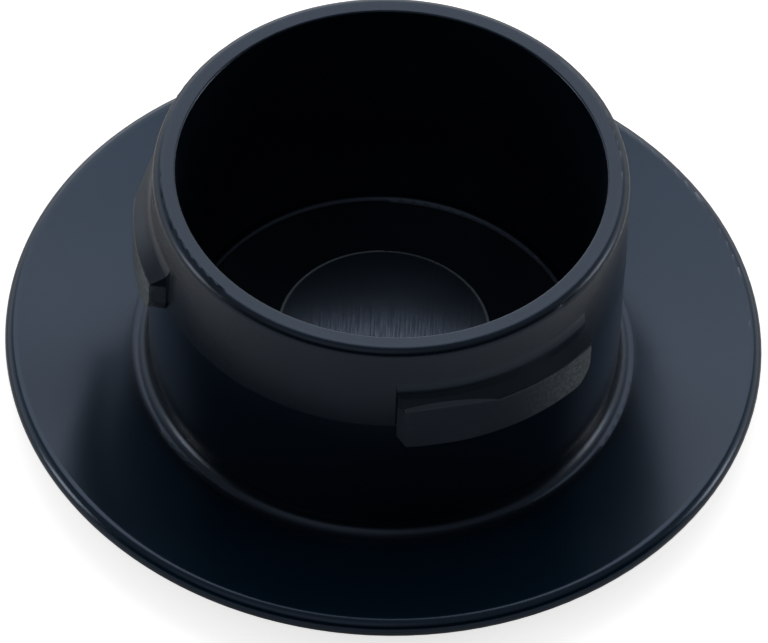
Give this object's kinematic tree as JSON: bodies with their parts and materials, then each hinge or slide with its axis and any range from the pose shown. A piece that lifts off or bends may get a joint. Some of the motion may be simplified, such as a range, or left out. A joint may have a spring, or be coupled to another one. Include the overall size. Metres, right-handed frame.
{
  "type": "desk grommet",
  "caption": "Round desk grommet: a dished flange and sleeve with snap lugs that grip a board, closed by a lift-out centre cap with a raised boss.",
  "frame": {"origin": "on the sleeve's axis, in the plane of the visible face that the grommet lies on", "axes": "+Z along the sleeve from the visible face to the rim that goes into the board; +X and +Y across, with the lugs' ramped ends at 33.4, 153.4 and 273.4 degrees from +X towards +Y"},
  "size_m": [0.08, 0.08, 0.0306],
  "materials": {
    "liner_plastic": "satin moulded, spark-eroded on the lugs",
    "cap_plastic": "satin moulded"
  },
  "bodies": {
    "liner": {"liner_sleeve": "liner_plastic"},
    "cap": {"centre_cap": "cap_plastic"}
  },
  "joints": [
    {"name": "cap_lift", "type": "slide", "parent": "liner", "child": "cap", "axis": [0, 0, -1], "range_m": [0, 0.012]}
  ]
}
